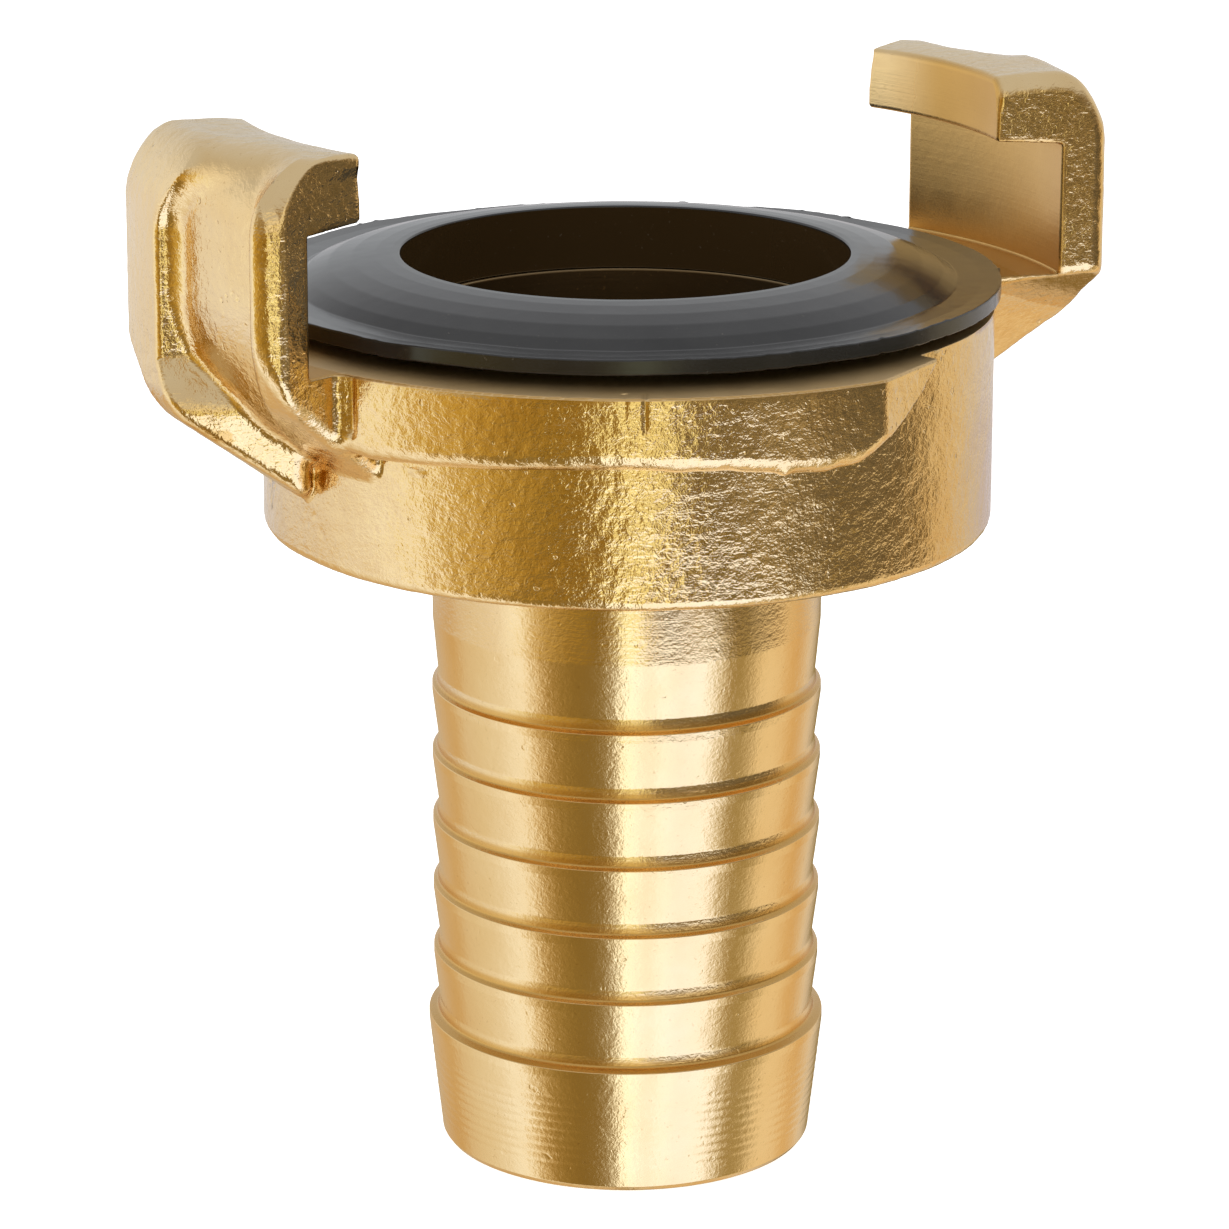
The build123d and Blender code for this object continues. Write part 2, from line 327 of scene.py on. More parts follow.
def profile(corners, pitch):
    """A closed (r, z) outline with each corner rounded: rows of r, z, and the outward normal.
    corners: (r, z, rounding, longest step of the run that follows). It runs with the solid on its left."""
    n = len(corners)
    rows = []
    arcs = []
    for i in range(n):
        p0 = np.array(corners[i - 1][:2]); p1 = np.array(corners[i][:2]); p2 = np.array(corners[(i + 1) % n][:2])
        a = (p1 - p0) / np.linalg.norm(p1 - p0); b = (p2 - p1) / np.linalg.norm(p2 - p1)
        turn = math.atan2(a[0] * b[1] - a[1] * b[0], a @ b)
        k = corners[i][2]
        t = min(abs(k * math.tan(turn / 2)), 0.48 * np.linalg.norm(p1 - p0), 0.48 * np.linalg.norm(p2 - p1))
        m = max(2, int(abs(turn) / 0.28) + 1)
        na, nb = np.array([a[1], -a[0]]), np.array([b[1], -b[0]])
        s, e = p1 - a * t, p1 + b * t
        arc = []
        for j in range(m + 1):
            f = j / m
            ang = turn * f
            c_, s_ = math.cos(ang), math.sin(ang)
            nn = np.array([na[0] * c_ - na[1] * s_, na[0] * s_ + na[1] * c_])
            if abs(turn) > 1e-6 and t > 0:
                radius = t / math.tan(abs(turn) / 2) * (1 if turn > 0 else -1)
                centre = s - na * radius
                pt = centre + nn * radius
            else:
                pt = s + (e - s) * f
            arc.append((pt[0], pt[1], nn[0], nn[1]))
        arcs.append((arc, nb))
    for i in range(n):
        arc, nb = arcs[i]
        rows += arc
        end = np.array(arc[-1][:2]); nxt = np.array(arcs[(i + 1) % n][0][0][:2])
        L = np.linalg.norm(nxt - end)
        m = int(math.ceil(L / (corners[i][3] if len(corners[i]) > 3 else pitch)))
        for j in range(1, m):
            q = end + (nxt - end) * j / m
            rows.append((q[0], q[1], nb[0], nb[1]))
    return np.array(rows)


def inside_of(p):
    """How far a point lies inside the waterway, where little light gets; there the brass colour is darkened as
    painted shade.
    """
    r = np.hypot(p[:, 0], p[:, 1])
    return (1 - step(12.3, 12.5, r)) * (1 - step(44.40, 44.46, p[:, 2])) * np.where((r < 8.6) & (p[:, 2] < 0.4), 0.0, 1.0) * np.where((r > 9.3) & (p[:, 2] < 35.0), 0.0, 1.0)


def lathe(name, rows, segments, height, forged, material, push=None, painted_interreflection=None):
    m = len(rows)
    a = np.arange(segments) * 2 * math.pi / segments
    c, s = np.cos(a), np.sin(a)
    p = np.stack([np.outer(c, rows[:, 0]), np.outer(s, rows[:, 0]), np.tile(rows[:, 1], (segments, 1))], -1).reshape(-1, 3)
    nrm = np.stack([np.outer(c, rows[:, 2]), np.outer(s, rows[:, 2]), np.tile(rows[:, 3], (segments, 1))], -1).reshape(-1, 3)
    if height is not None:
        h = height(p)
        g = np.empty_like(p)
        for i in range(3):
            d = np.zeros(3); d[i] = 0.012
            g[:, i] = (height(p + d) - height(p - d)) / 0.024
        g -= (g * nrm).sum(1, keepdims=True) * nrm
        p = p + nrm * h[:, None]
        nrm = nrm - g
        nrm /= np.linalg.norm(nrm, axis=1, keepdims=True)
    if push is not None:
        p = push(p)
    i = np.arange(segments)[:, None]; j = np.arange(m)[None, :]
    i2, j2 = (i + 1) % segments, (j + 1) % m
    faces = np.stack([i * m + j, i2 * m + j, i2 * m + j2, i * m + j2], -1).reshape(-1, 4)
    layers = {"forged": forged(p), "painted_hollow_shade": np.zeros(len(p)), "inside": inside_of(p)}
    if painted_interreflection is not None:
        layers["painted_interreflection"] = painted_interreflection(p)
    return mesh_piece(name, p, faces, nrm, layers, material)


# =====================================================================
# materials
# =====================================================================
class Nodes:
    def __init__(self, tree):
        self.t = tree
        tree.nodes.clear()

    def __call__(self, kind, *inputs, out=0, **props):
        n = self.t.nodes.new(kind)
        named = {}
        for k, v in props.items():
            if hasattr(n, k):
                setattr(n, k, v)
            else:
                named[k] = v
        for i, v in enumerate(inputs):
            if v is not None:
                self.put(n.inputs[i], v)
        for k, v in named.items():
            self.put(n.inputs[k.replace("_", " ")], v)
        return n.outputs[out] if out is not None else n

    def put(self, socket, v):
        if isinstance(v, bpy.types.NodeSocket):
            self.t.links.new(v, socket)
        else:
            socket.default_value = v

    def math(self, op, a, b=0.0, c=0.0, clamp=False):
        n = self.t.nodes.new("ShaderNodeMath")
        n.operation, n.use_clamp = op, clamp
        for i, v in enumerate((a, b, c)):
            self.put(n.inputs[i], v)
        return n.outputs[0]

    def ramp(self, fac, stops, mode="LINEAR"):
        n = self.t.nodes.new("ShaderNodeValToRGB")
        cr = n.color_ramp
        cr.interpolation = mode
        while len(cr.elements) > 1:
            cr.elements.remove(cr.elements[-1])
        first = True
        for pos, col in stops:
            if isinstance(col, (int, float)):
                col = (col, col, col)
            if first:
                e = cr.elements[0]; e.position = pos; first = False
            else:
                e = cr.elements.new(pos)
            e.color = (*col, 1)
        self.put(n.inputs[0], fac)
        return n.outputs[0]

    def mix(self, fac, a, b):
        n = self.t.nodes.new("ShaderNodeMix")
        n.data_type = "RGBA"
        self.put(n.inputs[0], fac); self.put(n.inputs[6], a); self.put(n.inputs[7], b)
        return n.outputs[2]

    def noise(self, vec, scale, detail=2.0, rough_=0.5, distortion=0.0):
        n = self.t.nodes.new("ShaderNodeTexNoise")
        self.put(n.inputs["Vector"], vec)
        n.inputs["Scale"].default_value = scale
        n.inputs["Detail"].default_value = detail
        n.inputs["Roughness"].default_value = rough_
        n.inputs["Distortion"].default_value = distortion
        return n.outputs[0]

    def stretch(self, vec, sx, sy, sz, turn=(0, 0, 0)):
        n = self.t.nodes.new("ShaderNodeMapping")
        n.inputs["Scale"].default_value = (sx, sy, sz)
        n.inputs["Rotation"].default_value = turn
        self.put(n.inputs[0], vec)
        return n.outputs[0]


def brass_material(name, tail=False):
    m = bpy.data.materials.new(name)
    m.use_nodes = True
    N = Nodes(m.node_tree)
    pos = N("ShaderNodeTexCoord", out=3)
    forged = N("ShaderNodeAttribute", attribute_name="forged", out=2)
    painted_hollow_shade = N("ShaderNodeAttribute", attribute_name="painted_hollow_shade", out=2)
    # colour: pale bright brass, deeper and more orange in hollows as painted shade and reflection, faint tarnish
    # clouds
    cloud = N.noise(pos, 160.0, 4.0, 0.6)
    fine = N.noise(pos, 2100.0, 3.0, 0.65, 0.6)
    base = N.ramp(cloud, [(0.30, (0.80, 0.580, 0.290)), (0.52, (0.83, 0.625, 0.335)), (0.74, (0.85, 0.66, 0.385))])
    # painted shade and reflection: hollows are made deeper and more orange
    base = N.mix(N.math("MULTIPLY", painted_hollow_shade, 0.8, clamp=True), base, (0.70, 0.42, 0.12, 1))
    inside = N("ShaderNodeAttribute", attribute_name="inside", out=2)
    # painted reflection: faces that see other brass are made deeper orange
    painted_interreflection = N("ShaderNodeAttribute", attribute_name="painted_interreflection", out=2)
    base = N.mix(painted_interreflection, base, (0.66, 0.395, 0.115, 1))
    # painted shade: the brass inside the waterway is darkened nearly to black
    base = N.mix(N.math("MULTIPLY", inside, 0.92), base, (0.10, 0.060, 0.024, 1))
    specks = N.ramp(N.noise(pos, 5200.0, 2.0, 0.6, 0.3), [(0.0, 0.0), (0.66, 0.0), (0.74, 1.0)])
    base = N.mix(N.math("MULTIPLY", specks, 0.35), base, (0.50, 0.30, 0.12, 1))
    # crinkled tumbled skin: short creases, in two sizes, and fine grit
    crease_a = N.math("ABSOLUTE", N.math("SUBTRACT", N.noise(pos, 1500.0, 2.0, 0.55, 1.6), 0.5))
    crease_b = N.math("ABSOLUTE", N.math("SUBTRACT", N.noise(pos, 3600.0, 1.5, 0.5, 0.9), 0.5))
    strokes1 = N.noise(N.stretch(pos, 900, 5200, 5200, (0.5, 0.9, 0.3)), 1.0, 2.0, 0.5, 0.4)
    strokes2 = N.noise(N.stretch(pos, 5000, 800, 5000, (1.1, 0.2, 0.8)), 1.0, 2.0, 0.5, 0.4)
    h = N.math("ADD", N.math("MULTIPLY", crease_a, 1.0), N.math("MULTIPLY", crease_b, 0.55))
    h = N.math("ADD", h, N.math("MULTIPLY", strokes1, 0.55))
    h = N.math("ADD", h, N.math("MULTIPLY", strokes2, 0.55))
    h = N.math("ADD", h, N.math("MULTIPLY", fine, 0.25))
    h = N.math("MULTIPLY", h, N.math("MULTIPLY_ADD", forged, 0.85, 0.15))
    # turned faces: fine rings round the axis, as height lines in z and in r
    xyz = N("ShaderNodeSeparateXYZ", pos, out=None)
    rr = N.math("SQRT", N.math("ADD", N.math("MULTIPLY", xyz.outputs[0], xyz.outputs[0]),
                               N.math("MULTIPLY", xyz.outputs[1], xyz.outputs[1])))
    ring_in = N("ShaderNodeCombineXYZ", N.math("MULTIPLY", rr, 9000.0),
                N.math("MULTIPLY", xyz.outputs[2], 9000.0),
                N.math("MULTIPLY", N.math("ADD", xyz.outputs[0], xyz.outputs[1]), 90.0))
    rings = N.noise(ring_in, 1.0, 3.0, 0.6)
    turned = N.math("SUBTRACT", 1.0, forged)
    h = N.math("ADD", h, N.math("MULTIPLY", N.math("MULTIPLY", rings, 0.16), turned))
    pits = N.ramp(N.noise(pos, 1900.0, 1.0, 0.4, 0.0), [(0.0, 0.0), (0.735, 0.0), (0.80, 1.0)])
    h = N.math("SUBTRACT", h, N.math("MULTIPLY", N.math("MULTIPLY", pits, 0.8), forged))
    bump = N("ShaderNodeBump", out=None)
    bump.inputs["Strength"].default_value = 1.0
    bump.inputs["Distance"].default_value = 0.000030
    N.put(bump.inputs["Height"], h)
    roughness = N.math("MULTIPLY_ADD", N.noise(pos, 420.0, 3.0, 0.6), 0.12, 0.06)
    roughness = N.math("ADD", roughness, N.math("MULTIPLY", turned, 0.06))
    roughness = N.math("ADD", roughness, N.math("MULTIPLY", inside, 0.3))
    roughness = N.math("ADD", roughness, N.math("MULTIPLY", painted_interreflection, N.math("MULTIPLY", turned, 0.16)))
    # the faced ring round the seal is left dull by the tool
    z_face = N.math("MULTIPLY", N.math("GREATER_THAN", xyz.outputs[2], 0.04520), N.math("LESS_THAN", xyz.outputs[2], 0.04540))
    z_face = N.math("MULTIPLY", z_face, N.math("GREATER_THAN", rr, 0.0155))
    roughness = N.math("ADD", roughness, N.math("MULTIPLY", N.math("MULTIPLY", z_face, turned), 0.26))
    b = N("ShaderNodeBsdfPrincipled", out=None)
    N.put(b.inputs["Base Color"], base)
    b.inputs["Metallic"].default_value = 1.0
    N.put(b.inputs["Roughness"], roughness)
    N.put(b.inputs["Normal"], bump.outputs[0])
    o = N("ShaderNodeOutputMaterial", out=None)
    N.put(o.inputs[0], b.outputs[0])
    return m


def rubber_material(name):
    m = bpy.data.materials.new(name)
    m.use_nodes = True
    N = Nodes(m.node_tree)
    pos = N("ShaderNodeTexCoord", out=3)
    cloud = N.noise(pos, 260.0, 3.0, 0.6)
    base = N.ramp(cloud, [(0.3, (0.009, 0.0092, 0.0092)), (0.7, (0.016, 0.0162, 0.016))])
    xyz = N("ShaderNodeSeparateXYZ", pos, out=None)
    rr = N.math("SQRT", N.math("ADD", N.math("MULTIPLY", xyz.outputs[0], xyz.outputs[0]),
                               N.math("MULTIPLY", xyz.outputs[1], xyz.outputs[1])))
    # painted reflection: the inner wall of the seal's opening is tinted brown, as if lit by the brass beside it
    wall = N.math("MULTIPLY", N.math("LESS_THAN", rr, 0.01172), N.math("LESS_THAN", xyz.outputs[2], 0.04775))
    base = N.mix(wall, base, (0.030, 0.017, 0.006, 1))
    dust = N.ramp(N.noise(pos, 4300.0, 2.0, 0.6), [(0.0, 0.0), (0.69, 0.0), (0.78, 1.0)])
    base = N.mix(N.math("MULTIPLY", dust, 0.25), base, (0.16, 0.14, 0.11, 1))
    h = N.math("ADD", N.math("MULTIPLY", N.noise(pos, 2600.0, 3.0, 0.6), 0.5),
               N.math("MULTIPLY", N.noise(pos, 500.0, 2.0, 0.5), 0.5))
    bump = N("ShaderNodeBump", out=None)
    bump.inputs["Strength"].default_value = 1.0
    bump.inputs["Distance"].default_value = 0.000006
    N.put(bump.inputs["Height"], h)
    b = N("ShaderNodeBsdfPrincipled", out=None)
    N.put(b.inputs["Base Color"], base)
    N.put(b.inputs["Roughness"], N.math("MULTIPLY_ADD", cloud, 0.12, 0.11))
    N.put(b.inputs["Normal"], bump.outputs[0])
    b.inputs["IOR"].default_value = 1.52
    o = N("ShaderNodeOutputMaterial", out=None)
    N.put(o.inputs[0], b.outputs[0])
    return m


BRASS = brass_material("forged_brass_skin")
RUBBER = rubber_material("black_rubber_skin")

# =====================================================================
# the two claws with their feet and cam flanges
# =====================================================================
H = 0.155


def build_claw(name, which):
    s = 1.0 if which == "right" else -1.0
    lo, hi = np.array([-18.2, 2.6, 35.0]), np.array([26.8, 22.3, 56.6])
    verts, faces = surface_net(claw_field, lo, hi, H)

    def turned_by(q):
        return np.column_stack([q[:, 0] * s, q[:, 1] * s, q[:, 2]])

    def forged_at(q):
        r = np.hypot(q[:, 0], q[:, 1])
        z = q[:, 2]
        v = np.abs(void_of(r, z))
        f = step(0.05, 0.35, v)
        f = f * np.where((z > FACE_Z - 0.05) & (r < 22.9) & (z < 46.0), 0.0, 1.0)
        return f

    def height(q):
        return forge(turned_by(q), 0.08 + 0.92 * forged_at(q)) + claw_marks(turned_by(q), which)

    p, nrm, painted_hollow_shade = settle(claw_field, height, verts)
    forged = forged_at(p)
    r, w = np.hypot(p[:, 0], p[:, 1]), -p[:, 0] * SA + p[:, 1] * CA
    # painted reflection: the machined slot faces and the near side face are made deeper orange, as brass seen in
    # brass
    painted_interreflection = (1 - forged) * np.where(r > 21.5, 0.75, 0.2 + 0.8 * (1 - step(0.0, 5.0, w))) * (p[:, 2] > FACE_Z - 0.05)
    lean = np.abs((p - [18.1, 5.0, 45.3]) @ N1) < 0.35
    painted_interreflection = np.maximum(painted_interreflection, 0.7 * forged * lean * (p[:, 2] < 45.2) * (w < 0) * (r > 19.2))
    p, nrm = turned_by(p), turned_by(nrm)
    ob = mesh_piece(name, p, faces, nrm, {"forged": forged, "painted_hollow_shade": painted_hollow_shade, "painted_interreflection": painted_interreflection}, BRASS)
    return ob


claw_right = build_claw("claw_and_flange_right", "right")
claw_left = build_claw("claw_and_flange_left", "left")

# =====================================================================
# turned collar with its chamber, seal groove and underside
# =====================================================================
collar_rows = profile([
    (8.10, 33.90, 0.03, 0.6), (COLLAR_R, COLLAR_Z0, 0.55, 0.25), (COLLAR_R, FACE_Z, 0.03, 0.45),
    (15.40, FACE_Z, 0.08, 0.8), (15.40, 40.5, 0.1, 0.8), (12.40, 40.5, 0.1, 0.8), (12.40, 44.45, 0.08, 0.5),
    (11.35, 44.45, 0.12, 0.5), (11.35, 39.0, 0.4, 0.5), (8.10, 35.6, 0.5, 0.8)], 0.4)


def collar_forged(p):
    r = np.hypot(p[:, 0], p[:, 1])
    z = p[:, 2]
    return np.where((r > 15.9) & (z < FACE_Z - 0.02) | (z < 34.6) & (r > 10.6), 1.0, 0.0)


def collar_height(p):
    x, y, z = p.T
    r = np.hypot(x, y)
    az = np.degrees(np.arctan2(y, x)) % 360
    on_side = ((r > 18.0) & (z < FACE_Z - 0.02)).astype(float)
    h = forge(p, 0.06 + 0.94 * on_side)
    for a, zz, s, d in ((196.5, 36.4, 0.16, 0.06), (199.0, 36.9, 0.12, 0.05), (201.0, 36.2, 0.14, 0.06), (212.0, 36.0, 0.12, 0.04),
                        (213.8, 36.6, 0.15, 0.05), (216.0, 35.9, 0.18, 0.06), (305.0, 37.5, 0.10, 0.04), (318.0, 39.2, 0.10, 0.04)):
        t = r * np.radians(az - a)
        h -= d * np.exp(-(t / s) ** 2 - ((z - zz) / s) ** 2) * on_side
    # scratches fanning out on the collar beside the left foot
    for k in range(7):
        a0 = 193.0 + 1.15 * k
        lean = (k - 3) * 0.16
        t = r * np.radians(az - a0) - (z - 38.0) * lean
        h -= 0.022 * np.exp(-(t / 0.07) ** 2) * step(35.4, 36.0, z) * (1 - step(38.4, 39.6, z)) * on_side
    return h


collar = lathe("turned_collar", collar_rows, 480, collar_height, collar_forged, BRASS)

# =====================================================================
# barbed tail
# =====================================================================
tail_pts = [(10.0, 35.0, 0.05, 0.8), (8.12, 35.0, 0.05, 0.9), (8.12, 0.0, 0.18, 0.5), (9.56, 0.0, 0.16, 0.2)]
tail_pts += [(9.78, 0.30, 0.12, 0.16)]
tail_step = 0.16
for k in range(6):
    mid = 7.17 + 3.638 * k
    crest = 10.47 if k == 0 else 10.20
    if k == 0:
        tail_pts += [(crest, mid - 0.80, 0.30, tail_step), (crest, mid - 0.36, 0.07, tail_step), (9.99, mid - 0.20, 0.20, tail_step), (9.90, mid + 0.36, 0.5, tail_step)]
    else:
        tail_pts += [(crest, mid - 0.82, 0.30, tail_step), (crest, mid - 0.37, 0.06, tail_step), (9.96, mid - 0.22, 0.20, tail_step), (9.885, mid + 0.37, 0.5, tail_step)]
tail_pts += [(10.15, 28.6, 2.0, 0.22), (10.15, COLLAR_Z0 - 0.02, 0.42, 0.3), (11.0, COLLAR_Z0 - 0.005, 0.05, 0.5), (11.0, 35.0, 0.05, 0.8)]
tail_rows = profile(tail_pts, 0.2)


def tail_height(p):
    z = p[:, 2]
    r = np.hypot(p[:, 0], p[:, 1])
    out = (r > 9.3).astype(float)
    band = step(0.9, 1.4, z) * (1 - step(4.9, 5.6, z))
    h = 0.0075 * np.sin(2 * np.pi * z / 0.48) * band * out
    return h + forge(p, 0.16) * out


def tail_painted_interreflection(p):
    """The corners over the barbs' shoulders, where the metal only sees metal; there the brass colour is made
    deeper orange as painted reflection.
    """
    r = np.hypot(p[:, 0], p[:, 1])
    k = np.clip(np.round((p[:, 2] - 7.17) / 3.638), 0, 5)
    d = p[:, 2] - (7.17 + 3.638 * k)
    return step(-0.40, -0.34, d) * (1 - step(-0.05, 0.22, d)) * (r > 9.0)


tail = lathe("barbed_tail", tail_rows, 264, tail_height,
             lambda p: np.where(np.hypot(p[:, 0], p[:, 1]) > 9.0, 0.32, 0.1), BRASS, painted_interreflection=tail_painted_interreflection)

# =====================================================================
# lip seal
# =====================================================================
seal_rows = profile([
    (12.45, 40.5, 0.1, 0.8), (15.35, 40.5, 0.1, 0.8), (15.35, 45.86, 0.15, 0.3), (19.30, 45.86, 0.10, 0.12),
    (19.30, 46.68, 0.09, 0.2), (18.3, 46.60, 2.0, 0.2), (17.05, 46.56, 0.30, 0.2), (16.3, 47.00, 0.9, 0.2), (15.2, 47.42, 1.6, 0.25), (14.0, 47.70, 1.6, 0.25),
    (12.8, 47.86, 1.6, 0.25), (12.0, 47.91, 0.6, 0.2), (11.55, 47.91, 0.10, 0.4), (11.55, 44.46, 0.08, 0.4), (12.45, 44.46, 0.05, 0.5)], 0.3)
FLASH = waves(23, 40, 0.5, 2.2)
FLASH2 = waves(29, 30, 3.0, 11.0)


def seal_push(p):
    """Ragged flash on the brim's edge, a soft unevenness, and the seal's small lean in its groove."""
    x, y, z = p.T
    r = np.hypot(x, y)
    edge = step(19.0, 19.28, r)
    rag = np.maximum(rough(FLASH, p * [1, 1, 0]) - 0.9, 0) * 0.06 + 0.012 * rough(FLASH, p * [1, 1, 0])
    k = 1 + edge * (rag - 0.02) / np.maximum(r, 1)
    zz = z + edge * np.maximum(rough(FLASH, p * [1, 1, 0] + 5.0) - 1.1, 0) * 0.05
    brim = step(15.6, 18.5, r) * (z > 45.5)
    zz = zz + brim * (0.018 * rough(FLASH2, p * [1, 1, 0]))
    zz = zz + (z > 45.5) * (x * 0.0035 - np.maximum(y, 0) * 0.0105) * (r / 19.3)
    return np.column_stack([x * k - 0.13 * (z > 44.4), y * k, zz])


seal = lathe("moulded_lip_seal", seal_rows, 480, lambda p: 0.0010 * rough(HAMMER, p),
             lambda p: np.zeros(len(p)), RUBBER, push=seal_push)

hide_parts("coupling_body")
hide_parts("lip_seal")
for ob in (claw_right, claw_left, collar, tail):
    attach(ob, "root")
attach(seal, "root")

# =====================================================================
# studio: floor, light, reflections
# =====================================================================
scene = bpy.context.scene
scene.view_settings.view_transform = "Standard"
scene.view_settings.look = "None"
scene.view_settings.exposure = 0.0
scene.view_settings.gamma = 1.0


def disc(name, radius, z, rings=48):
    me = bpy.data.meshes.new(name)
    a = [2 * math.pi * i / rings for i in range(rings)]
    me.from_pydata([(radius * math.cos(t), radius * math.sin(t), z) for t in a], [], [list(range(rings))])
    ob = bpy.data.objects.new(name, me)
    scene.collection.objects.link(ob)
    return ob


floor = disc("studio_floor", 3.0, 0.0)
fm = bpy.data.materials.new("pale_floor")
fm.use_nodes = True
N = Nodes(fm.node_tree)
tone = N.noise(N("ShaderNodeTexCoord", out=3), 3.0, 2.0, 0.5)
d = N("ShaderNodeBsdfDiffuse", N.ramp(tone, [(0.3, 0.86), (0.7, 0.90)]))
e = N("ShaderNodeEmission", (1, 1, 1, 1), 0.62)
a = N("ShaderNodeAddShader", d, e)
N("ShaderNodeOutputMaterial", a, out=None)
floor.data.materials.append(fm)
floor.visible_glossy = False

# What polished metal sees below the horizon: the lit table top near the part and the
# dimmer room beyond it. It shows only in reflections.
mirror_floor = disc("studio_reflected_floor", 3.0, -0.0004)
mirror_floor.visible_camera = False
mirror_floor.visible_diffuse = False
mirror_floor.visible_transmission = False
mirror_floor.visible_volume_scatter = False
mirror_floor.visible_shadow = False
rm = bpy.data.materials.new("reflected_floor")
rm.use_nodes = True
N = Nodes(rm.node_tree)
g = N("ShaderNodeTexCoord", out=3)
xyz = N("ShaderNodeSeparateXYZ", g, out=None)
ang = N.math("ARCTAN2", xyz.outputs[1], xyz.outputs[0])
frac = N.math("MULTIPLY_ADD", ang, 1 / (2 * math.pi), 0.5)
dist = N.math("SQRT", N.math("ADD", N.math("MULTIPLY", xyz.outputs[0], xyz.outputs[0]), N.math("MULTIPLY", xyz.outputs[1], xyz.outputs[1])))


def at(deg):
    return ((deg + 180.0) % 360.0) / 360.0


def around(stops):
    """Stops by azimuth in degrees, closed round the circle."""
    s = sorted((at(d), c) for d, c in stops)
    first, last = s[0], s[-1]
    gap = (first[0] + 1 - last[0])
    f = (1 - last[0]) / gap if gap > 0 else 0
    mixc = tuple(last[1][i] * (1 - f) + first[1][i] * f for i in range(3))
    return [(0.0, mixc)] + s + [(1.0, mixc)]


def k3(v, w=None):
    return (v, v, v) if w is None else w


NEAR = around([
    (77, (0.30, 0.21, 0.07)), (88, (0.34, 0.25, 0.09)), (97, (0.60, 0.48, 0.32)), (121, (0.70, 0.53, 0.34)), (142, (0.72, 0.51, 0.25)), (152, (0.82, 0.70, 0.53)), (170, (0.90, 0.83, 0.70)),
    (187, (1.0, 0.98, 0.95)), (202, (1.2, 1.28, 1.45)), (207, (1.15, 1.15, 1.15)), (214, (0.80, 0.65, 0.40)), (222, (0.45, 0.31, 0.11)),
    (229, (0.36, 0.25, 0.08)), (241, (0.28, 0.19, 0.055)), (255, (0.30, 0.215, 0.08)), (263, (0.50, 0.43, 0.30)), (268, (1.7, 1.85, 2.0)),
    (276, (1.45, 1.55, 1.9)), (284, (1.25, 1.30, 1.5)), (293, (1.45, 1.6, 2.0)), (302, (1.3, 1.4, 1.8)), (322, (1.4, 1.55, 2.0)),
    (329, (0.90, 0.85, 0.75)), (338, (0.42, 0.31, 0.13)), (345, (0.40, 0.31, 0.13)), (352, (0.60, 0.50, 0.32)), (362, (1.0, 0.85, 0.62)),
    (378, (0.95, 0.80, 0.58)), (394, (0.79, 0.53, 0.24)), (415, (0.85, 0.75, 0.62))])
FAR = around([
    (95, (0.80, 0.78, 0.80)), (138, (0.74, 0.70, 0.70)), (168, (0.92, 0.91, 0.96)), (190, (0.96, 0.93, 0.98)), (200, (1.15, 1.18, 1.25)),
    (208, (1.15, 1.15, 1.1)), (214, (0.85, 0.72, 0.45)), (219, (0.72, 0.56, 0.26)), (228, (0.70, 0.51, 0.19)), (236, (0.45, 0.29, 0.07)),
    (245, (0.44, 0.29, 0.06)), (253, (0.20, 0.12, 0.02)), (259, (0.30, 0.18, 0.035)), (265, (0.55, 0.43, 0.15)), (269, (1.45, 1.5, 1.0)),
    (276, (1.3, 1.3, 0.8)), (280, (0.75, 0.60, 0.26)), (284, (0.20, 0.10, 0.02)), (294, (0.10, 0.065, 0.02)), (303, (0.30, 0.22, 0.09)),
    (312, (0.45, 0.34, 0.15)), (322, (0.24, 0.17, 0.07)), (330, (0.13, 0.09, 0.035)), (350, (0.20, 0.155, 0.10)), (362, (0.13, 0.095, 0.045)),
    (369, (0.32, 0.22, 0.11)), (377, (0.80, 0.63, 0.38)), (385, (0.78, 0.63, 0.42)), (399, (0.68, 0.64, 0.62)), (415, (0.62, 0.56, 0.62))])
WIDE = around([
    (95, (0.80, 0.78, 0.80)), (140, (0.9, 0.88, 0.88)), (170, (0.98, 0.97, 0.97)), (196, (1.15, 1.2, 1.2)), (208, (1.0, 0.93, 0.60)),
    (216, (0.70, 0.50, 0.12)), (228, (0.62, 0.41, 0.075)), (240, (0.45, 0.28, 0.055)), (252, (0.34, 0.21, 0.035)), (260, (0.33, 0.20, 0.035)),
    (266, (0.45, 0.31, 0.08)), (271, (1.05, 0.95, 0.50)), (276, (1.2, 1.15, 0.65)), (281, (1.0, 0.88, 0.48)), (287, (0.50, 0.38, 0.18)),
    (295, (0.36, 0.27, 0.13)), (312, (0.44, 0.36, 0.22)), (330, (0.29, 0.24, 0.16)), (350, (0.22, 0.18, 0.11)), (361, (0.22, 0.165, 0.09)),
    (368, (0.42, 0.31, 0.17)), (376, (0.80, 0.63, 0.38)), (385, (0.85, 0.70, 0.45)), (399, (0.80, 0.73, 0.65)), (415, (0.75, 0.70, 0.68))])
HIGH = 0.5


def halve(stops):
    return [(p, tuple(v * HIGH for v in c)) for p, c in stops]


far_c = N.ramp(frac, halve(FAR))
wide_c = N.ramp(frac, halve(WIDE))
col = N.mix(N.ramp(dist, [(0.170, 0.0), (0.180, 1.0)]), far_c, wide_c)
# further out, in front, the room is darker still
dusk = N.math("MULTIPLY", N.ramp(dist, [(0.222, 0.0), (0.240, 1.0)]),
              N.ramp(frac, around([(277, (0, 0, 0)), (282, (1, 1, 1)), (330, (1, 1, 1)), (366, (0.6, 0.6, 0.6)), (374, (0, 0, 0)), (180, (0, 0, 0))])))
col = N.mix(N.math("MULTIPLY", dusk, 0.55), col, (0.0, 0.0, 0.0, 1))
# close to the part the table is left open: the room below the horizon shows there
em = N("ShaderNodeEmission", col, 1.0 / HIGH)
clear = N("ShaderNodeBsdfTransparent", (1, 1, 1, 1))
both = N("ShaderNodeMixShader", N.ramp(dist, [(0.108, 0.0), (0.122, 1.0)]), clear, em)
N("ShaderNodeOutputMaterial", both, out=None)
mirror_floor.data.materials.append(rm)

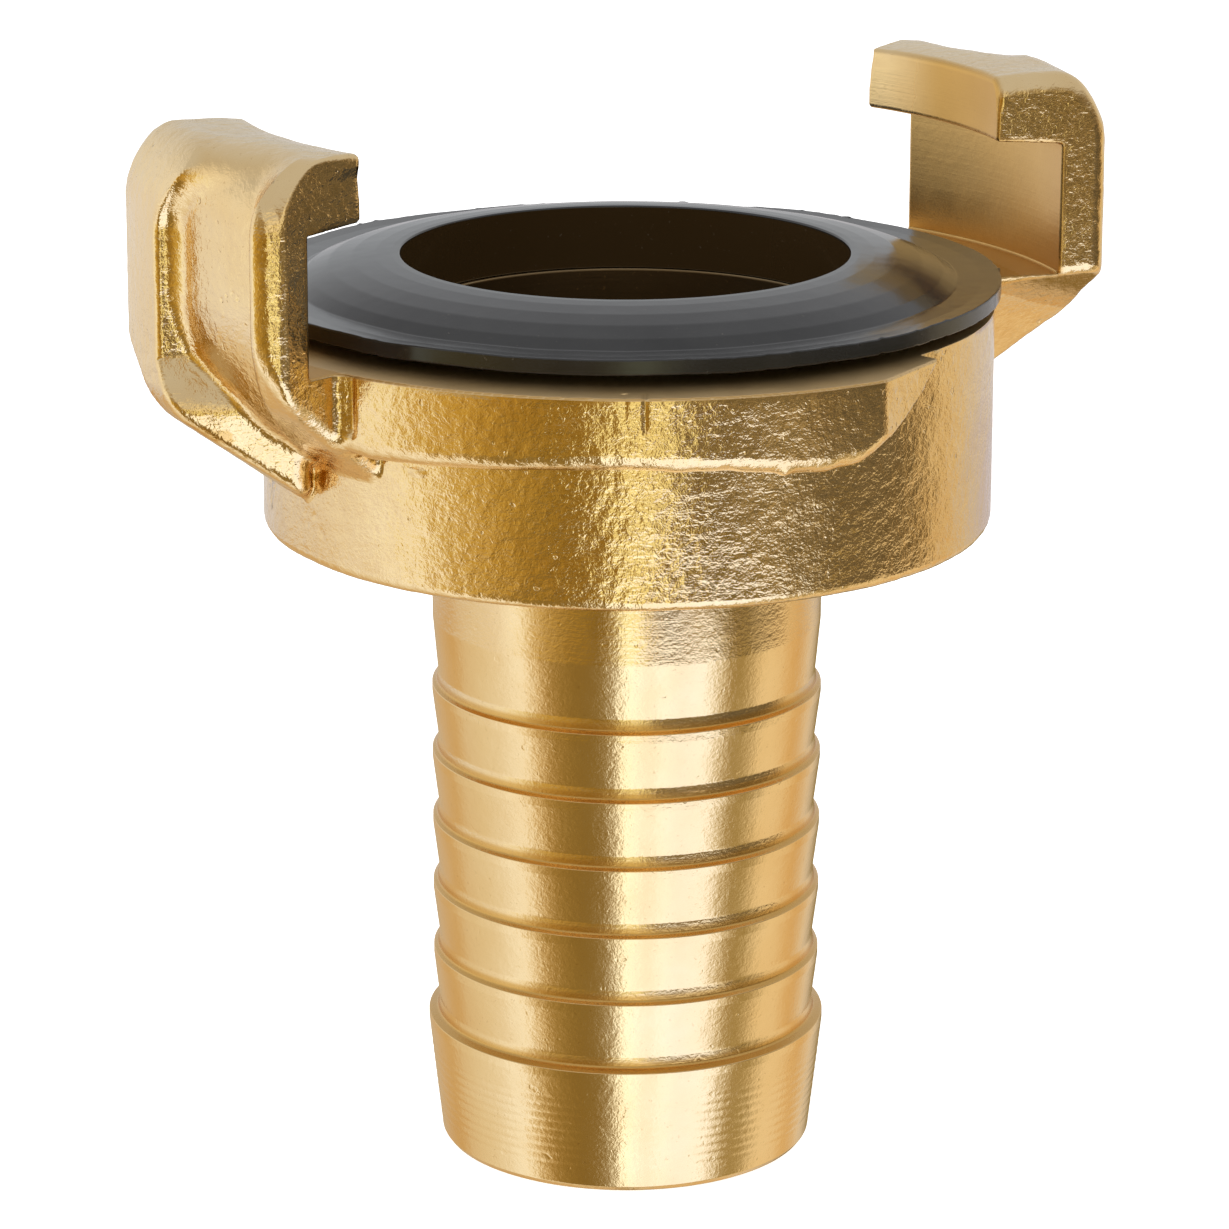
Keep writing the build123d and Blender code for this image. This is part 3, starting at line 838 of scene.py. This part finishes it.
# the room above the horizon
w = bpy.data.worlds.new("studio")
scene.world = w
w.use_nodes = True
N = Nodes(w.node_tree)
g = N("ShaderNodeTexCoord", out=0)
xyz = N("ShaderNodeSeparateXYZ", g, out=None)
ang = N.math("ARCTAN2", xyz.outputs[1], xyz.outputs[0])
frac = N.math("MULTIPLY_ADD", ang, 1 / (2 * math.pi), 0.5)
ROOM = around([(95, (0.66, 0.68, 0.70)), (125, (0.85, 0.85, 0.85)), (150, (1.0, 1.0, 1.0)), (205, (1.0, 1.0, 1.0)), (222, (0.55, 0.44, 0.25)), (255, (0.34, 0.24, 0.1)),
               (266, (0.6, 0.5, 0.32)), (273, (1.2, 1.15, 0.95)), (284, (0.9, 0.8, 0.55)), (292, (0.35, 0.27, 0.14)), (330, (0.26, 0.2, 0.12)), (362, (0.26, 0.2, 0.12)),
               (376, (0.62, 0.54, 0.42)), (405, (0.8, 0.78, 0.75))])
horizon = N.ramp(frac, halve(ROOM))
up = N.ramp(xyz.outputs[2], [(0.12, 0.0), (0.62, 1.0)], "EASE")
sky = N.mix(up, horizon, (0.33, 0.33, 0.34, 1))
below = N.math("LESS_THAN", xyz.outputs[2], -0.02)
sky = N.mix(below, sky, N.ramp(frac, halve(NEAR)))
room = N("ShaderNodeBackground", sky, 1.0 / HIGH)
plain = N("ShaderNodeBackground", (1, 1, 1, 1), 1.0)
path = N("ShaderNodeLightPath", out=None)
both = N("ShaderNodeMixShader", path.outputs["Is Camera Ray"], room, plain)
N("ShaderNodeOutputWorld", both, out=None)


def area(name, where, look, size, power, glossy=False):
    la = bpy.data.lights.new(name, "AREA")
    la.shape = "DISK"
    la.size = size
    la.energy = power
    ob = bpy.data.objects.new(name, la)
    scene.collection.objects.link(ob)
    ob.location = where
    ob.rotation_euler = (Vector(look) - Vector(where)).to_track_quat("-Z", "Y").to_euler()
    ob.visible_glossy = glossy
    return ob


area("soft_key", (-0.35, -0.30, 0.62), (0, 0, 0.03), 0.45, 3.2)
area("soft_fill", (0.45, -0.15, 0.5), (0, 0, 0.03), 0.5, 1.8)

# =====================================================================
# camera
# =====================================================================
cam_data = bpy.data.cameras.new("camera")
cam = bpy.data.objects.new("camera", cam_data)
scene.collection.objects.link(cam)
scene.camera = cam
F_PX, DIST, ELEV, ROLL = 5300.6, 277.2, rad(16.061), rad(0.177)
cam_data.sensor_width = 36.0
cam_data.lens = 36.0 * F_PX / 1229.0
cam_data.shift_x = -12.253 / 1229.0
cam_data.dof.use_dof = False
cam_data.clip_start, cam_data.clip_end = 0.01, 20.0
target = Vector((0, 0, 28.45 * MM))
back = Vector((0, -math.cos(ELEV), math.sin(ELEV)))
cam.location = target + back * DIST * MM
q = (-back).to_track_quat("-Z", "Y")
cam.rotation_mode = "QUATERNION"
cam.rotation_quaternion = q @ Matrix.Rotation(ROLL, 3, "Z").to_quaternion()

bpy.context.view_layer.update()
for ob in (claw_right, claw_left, collar, tail, seal):
    print(ob.name, "faces", len(ob.data.polygons))
